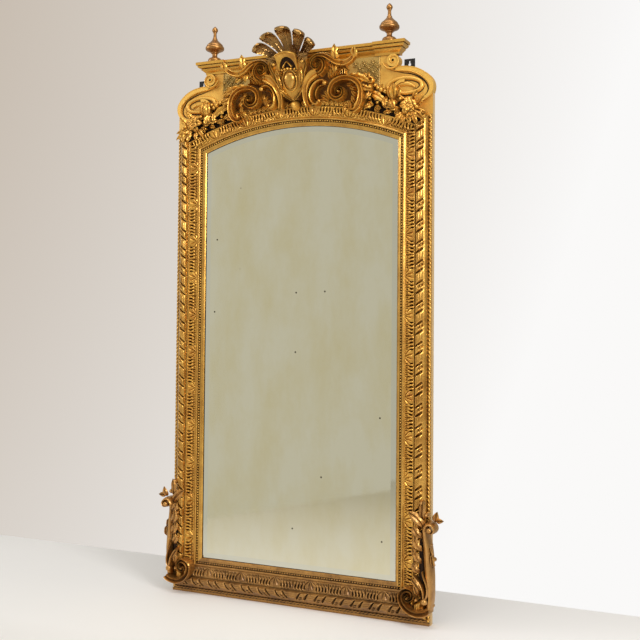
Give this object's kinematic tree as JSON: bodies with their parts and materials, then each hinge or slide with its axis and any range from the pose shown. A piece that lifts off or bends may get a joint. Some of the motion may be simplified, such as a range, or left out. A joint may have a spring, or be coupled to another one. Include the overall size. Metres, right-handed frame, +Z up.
{
  "type": "floor mirror",
  "caption": "Tall arched mirror in a carved gilt frame with cornice, turned finials, plumed cartouche, scrolls, garlands and scrolled corner brackets; stands on the floor and leans on a wall.",
  "frame": {"origin": "on the floor, at the middle of the frame's width, 2 mm in front of the back of the frame boards", "axes": "+X to the viewer's right, -Y toward the viewer, +Z up"},
  "size_m": [1.1884, 0.2345, 2.303],
  "materials": {
    "leaf_gilt": "gilded gesso, burnished on the high points, dark in the hollows",
    "ochre_gilt": "matte gilding over yellow bole",
    "diaper_gilt": "dull olive gilding on a trellis ground",
    "bronzed_gilt": "darkened gilding",
    "turned_gilt": "satin gilding on turned and planed wood",
    "frame_wood": "softwood under gesso",
    "back_wood": "old unfinished pine",
    "mirror_glass": "aged silvering behind bevelled plate glass",
    "black_steel": "black lacquered steel"
  },
  "bodies": {
    "root": {"arch_spray_left": "leaf_gilt", "arch_spray_right": "leaf_gilt", "backboard_lower": "back_wood", "backboard_upper": "back_wood", "batten_left": "back_wood", "batten_right": "back_wood", "bottom_rail": "frame_wood", "c_scroll_left": "leaf_gilt", "c_scroll_right": "leaf_gilt", "cartouche_cabochon": "leaf_gilt", "cartouche_shield": "leaf_gilt", "corner_bracket_left": "leaf_gilt", "corner_bracket_right": "leaf_gilt", "cornice_centre": "turned_gilt", "cornice_left": "turned_gilt", "cornice_right": "turned_gilt", "crest_board": "ochre_gilt", "crest_core": "frame_wood", "crossbar_lower": "back_wood", "crossbar_upper": "back_wood", "diaper_panel_left": "diaper_gilt", "diaper_panel_right": "diaper_gilt", "finial_left": "turned_gilt", "finial_right": "turned_gilt", "garland_left": "leaf_gilt", "garland_right": "leaf_gilt", "glazing_blocks": "frame_wood", "hanger_plate_left": "black_steel", "hanger_plate_right": "black_steel", "leaf_moulding_arch": "leaf_gilt", "leaf_moulding_bottom": "leaf_gilt", "leaf_moulding_left": "leaf_gilt", "leaf_moulding_right": "leaf_gilt", "mirror_plate": "mirror_glass", "pendant_boss": "leaf_gilt", "plume_centre": "bronzed_gilt", "plume_inner_left": "bronzed_gilt", "plume_inner_right": "bronzed_gilt", "plume_outer_left": "bronzed_gilt", "plume_outer_right": "bronzed_gilt", "ribbon_moulding_bottom": "leaf_gilt", "ribbon_moulding_left": "leaf_gilt", "ribbon_moulding_right": "leaf_gilt", "rope_moulding_bottom": "leaf_gilt", "rope_moulding_left": "leaf_gilt", "rope_moulding_right": "leaf_gilt", "shoulder_scroll_left": "ochre_gilt", "shoulder_scroll_right": "ochre_gilt", "sight_moulding_arch": "leaf_gilt", "sight_moulding_bottom": "leaf_gilt", "sight_moulding_left": "leaf_gilt", "sight_moulding_right": "leaf_gilt", "small_scroll_left": "leaf_gilt", "small_scroll_right": "leaf_gilt", "stile_left": "frame_wood", "stile_right": "frame_wood", "top_rail": "frame_wood", "upper_scroll_left": "leaf_gilt", "upper_scroll_right": "leaf_gilt"}
  },
  "joints": []
}
